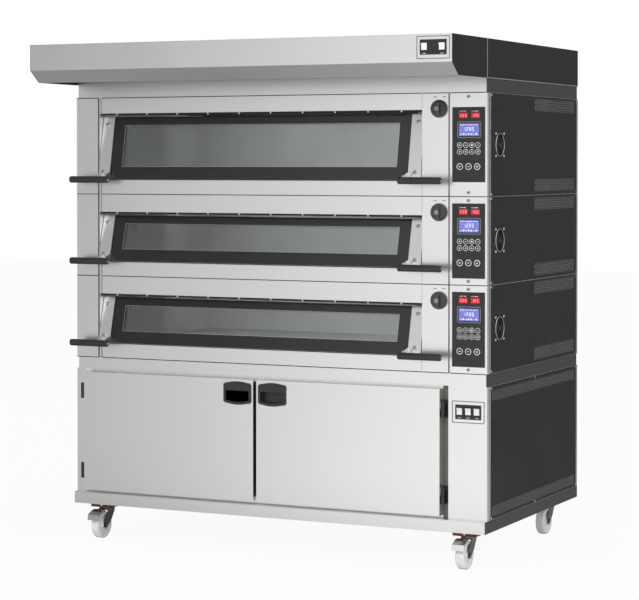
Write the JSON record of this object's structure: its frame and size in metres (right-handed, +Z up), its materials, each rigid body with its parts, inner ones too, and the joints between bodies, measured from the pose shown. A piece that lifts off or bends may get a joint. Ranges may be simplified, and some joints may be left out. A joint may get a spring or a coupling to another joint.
{
  "type": "deck oven",
  "caption": "Electric bakery deck oven on casters: stacked baking decks with leaning glass doors, a proofing cabinet below and a canopy hood above.",
  "frame": {"origin": "middle of the floor footprint, on the floor under the casters", "axes": "+X to the right seen from the front, +Y to the back (the fronts face -Y), +Z up"},
  "size_m": [1.6653, 1.2838, 1.884],
  "materials": {
    "stainless": "satin",
    "bracket_steel": "satin",
    "zinc_sheet": "satin",
    "dark_paint": "matte",
    "black_plastic": "satin",
    "black_anodised": "satin",
    "door_glass": "gloss",
    "lamp_glass": "gloss",
    "stone": "matte",
    "element_steel": "matte",
    "mineral_wool": "matte",
    "white_nylon": "satin",
    "white_rocker": "gloss",
    "chrome": "polished",
    "red_brown_paint": "satin",
    "screw_steel": "polished"
  },
  "bodies": {
    "oven": {"hood_shell": "stainless", "side_panels": "dark_paint", "vent_grilles": "dark_paint", "lamps": "lamp_glass", "spacer_bands": "stainless", "chassis": "zinc_sheet", "deck_fronts": "stainless", "control_plates": "stainless", "keypads": "black_plastic", "baking_stones": "stone", "heating_elements": "element_steel", "insulation": "mineral_wool", "fan_frames": "black_plastic", "prover_cabinet": "stainless", "prover_fittings": "stainless", "caster_plates": "red_brown_paint", "screws": "screw_steel", "chamber_1": "stainless", "chamber_2": "stainless", "chamber_3": "stainless"},
    "deck_door_1": {"door_glass_1": "door_glass", "door_frame_1": "black_anodised", "door_brackets_1": "bracket_steel", "door_handles_1": "black_plastic"},
    "damper_1": {"damper_knob_1": "black_plastic", "damper_rod_1": "stainless"},
    "fan_1": {"fan_rotor_1": "black_plastic"},
    "deck_door_2": {"door_glass_2": "door_glass", "door_frame_2": "black_anodised", "door_brackets_2": "bracket_steel", "door_handles_2": "black_plastic"},
    "damper_2": {"damper_knob_2": "black_plastic", "damper_rod_2": "stainless"},
    "fan_2": {"fan_rotor_2": "black_plastic"},
    "deck_door_3": {"door_glass_3": "door_glass", "door_frame_3": "black_anodised", "door_brackets_3": "bracket_steel", "door_handles_3": "black_plastic"},
    "damper_3": {"damper_knob_3": "black_plastic", "damper_rod_3": "stainless"},
    "fan_3": {"fan_rotor_3": "black_plastic"},
    "proof_left": {"proof_door_left": "stainless", "proof_handle_left": "black_plastic"},
    "proof_right": {"proof_door_right": "stainless", "proof_handle_right": "black_plastic"},
    "hood_switch_light": {"hood_rocker_light": "white_rocker"},
    "hood_switch_fan": {"hood_rocker_fan": "white_rocker"},
    "prover_switch_1": {"prover_rocker_1": "white_rocker"},
    "prover_switch_2": {"prover_rocker_2": "white_rocker"},
    "prover_switch_3": {"prover_rocker_3": "white_rocker"},
    "caster_swivel_front_left": {"caster_fork_front_left": "chrome"},
    "caster_roll_front_left": {"caster_wheel_front_left": "white_nylon"},
    "caster_pedal_front_left": {"caster_brake_front_left": "chrome"},
    "caster_swivel_front_right": {"caster_fork_front_right": "chrome"},
    "caster_roll_front_right": {"caster_wheel_front_right": "white_nylon"},
    "caster_pedal_front_right": {"caster_brake_front_right": "chrome"},
    "caster_swivel_back_left": {"caster_fork_back_left": "chrome"},
    "caster_roll_back_left": {"caster_wheel_back_left": "white_nylon"},
    "caster_swivel_back_right": {"caster_fork_back_right": "chrome"},
    "caster_roll_back_right": {"caster_wheel_back_right": "white_nylon"}
  },
  "joints": [
    {"name": "deck_door_1_hinge", "type": "hinge", "parent": "oven", "child": "deck_door_1", "pos_m": [-0.0715, -0.27705, 0.90196], "axis": [-1, 0, 0], "range_deg": [0, 75]},
    {"name": "damper_1_turn", "type": "hinge", "parent": "oven", "child": "damper_1", "pos_m": [0.651, -0.315, 0.936], "axis": [0, 1, 0], "range_deg": [0, 90]},
    {"name": "fan_1_spin", "type": "hinge", "parent": "oven", "child": "fan_1", "pos_m": [0.81, -0.198, 0.8375], "axis": [1, 0, 0], "continuous": true},
    {"name": "deck_door_2_hinge", "type": "hinge", "parent": "oven", "child": "deck_door_2", "pos_m": [-0.0715, -0.27705, 1.20896], "axis": [-1, 0, 0], "range_deg": [0, 75]},
    {"name": "damper_2_turn", "type": "hinge", "parent": "oven", "child": "damper_2", "pos_m": [0.651, -0.315, 1.243], "axis": [0, 1, 0], "range_deg": [0, 90]},
    {"name": "fan_2_spin", "type": "hinge", "parent": "oven", "child": "fan_2", "pos_m": [0.81, -0.198, 1.1445], "axis": [1, 0, 0], "continuous": true},
    {"name": "deck_door_3_hinge", "type": "hinge", "parent": "oven", "child": "deck_door_3", "pos_m": [-0.0715, -0.27648, 1.57743], "axis": [-1, 0, 0], "range_deg": [0, 75]},
    {"name": "damper_3_turn", "type": "hinge", "parent": "oven", "child": "damper_3", "pos_m": [0.651, -0.315, 1.603], "axis": [0, 1, 0], "range_deg": [0, 90]},
    {"name": "fan_3_spin", "type": "hinge", "parent": "oven", "child": "fan_3", "pos_m": [0.81, -0.198, 1.478], "axis": [1, 0, 0], "continuous": true},
    {"name": "proof_door_left_hinge", "type": "hinge", "parent": "oven", "child": "proof_left", "pos_m": [-0.797, -0.329, 0.4075], "axis": [0, 0, -1], "range_deg": [0, 110]},
    {"name": "proof_door_right_hinge", "type": "hinge", "parent": "oven", "child": "proof_right", "pos_m": [0.67, -0.329, 0.4075], "axis": [0, 0, 1], "range_deg": [0, 110]},
    {"name": "hood_rocker_light_tilt", "type": "hinge", "parent": "oven", "child": "hood_switch_light", "pos_m": [0.729, -0.628, 1.803], "axis": [-1, 0, 0], "range_deg": [0, 14]},
    {"name": "hood_rocker_fan_tilt", "type": "hinge", "parent": "oven", "child": "hood_switch_fan", "pos_m": [0.793, -0.628, 1.803], "axis": [-1, 0, 0], "range_deg": [0, 14]},
    {"name": "prover_rocker_1_tilt", "type": "hinge", "parent": "oven", "child": "prover_switch_1", "pos_m": [0.729, -0.313, 0.554], "axis": [-1, 0, 0], "range_deg": [0, 14]},
    {"name": "prover_rocker_2_tilt", "type": "hinge", "parent": "oven", "child": "prover_switch_2", "pos_m": [0.761, -0.313, 0.554], "axis": [-1, 0, 0], "range_deg": [0, 14]},
    {"name": "prover_rocker_3_tilt", "type": "hinge", "parent": "oven", "child": "prover_switch_3", "pos_m": [0.793, -0.313, 0.554], "axis": [-1, 0, 0], "range_deg": [0, 14]},
    {"name": "caster_swivel_front_left", "type": "hinge", "parent": "oven", "child": "caster_swivel_front_left", "pos_m": [-0.738, -0.255, 0.11], "axis": [0, 0, 1], "continuous": true},
    {"name": "caster_roll_front_left", "type": "hinge", "parent": "caster_swivel_front_left", "child": "caster_roll_front_left", "pos_m": [-0.738, -0.293, 0.05], "axis": [1, 0, 0], "continuous": true},
    {"name": "caster_brake_front_left", "type": "hinge", "parent": "caster_swivel_front_left", "child": "caster_pedal_front_left", "pos_m": [-0.738, -0.263, 0.103], "axis": [1, 0, 0], "range_deg": [0, 8]},
    {"name": "caster_swivel_front_right", "type": "hinge", "parent": "oven", "child": "caster_swivel_front_right", "pos_m": [0.738, -0.255, 0.11], "axis": [0, 0, 1], "continuous": true},
    {"name": "caster_roll_front_right", "type": "hinge", "parent": "caster_swivel_front_right", "child": "caster_roll_front_right", "pos_m": [0.738, -0.293, 0.05], "axis": [1, 0, 0], "continuous": true},
    {"name": "caster_brake_front_right", "type": "hinge", "parent": "caster_swivel_front_right", "child": "caster_pedal_front_right", "pos_m": [0.738, -0.263, 0.103], "axis": [1, 0, 0], "range_deg": [0, 8]},
    {"name": "caster_swivel_back_left", "type": "hinge", "parent": "oven", "child": "caster_swivel_back_left", "pos_m": [-0.738, 0.55, 0.11], "axis": [0, 0, 1], "continuous": true},
    {"name": "caster_roll_back_left", "type": "hinge", "parent": "caster_swivel_back_left", "child": "caster_roll_back_left", "pos_m": [-0.738, 0.512, 0.05], "axis": [1, 0, 0], "continuous": true},
    {"name": "caster_swivel_back_right", "type": "hinge", "parent": "oven", "child": "caster_swivel_back_right", "pos_m": [0.738, 0.55, 0.11], "axis": [0, 0, 1], "continuous": true},
    {"name": "caster_roll_back_right", "type": "hinge", "parent": "caster_swivel_back_right", "child": "caster_roll_back_right", "pos_m": [0.738, 0.512, 0.05], "axis": [1, 0, 0], "continuous": true}
  ]
}
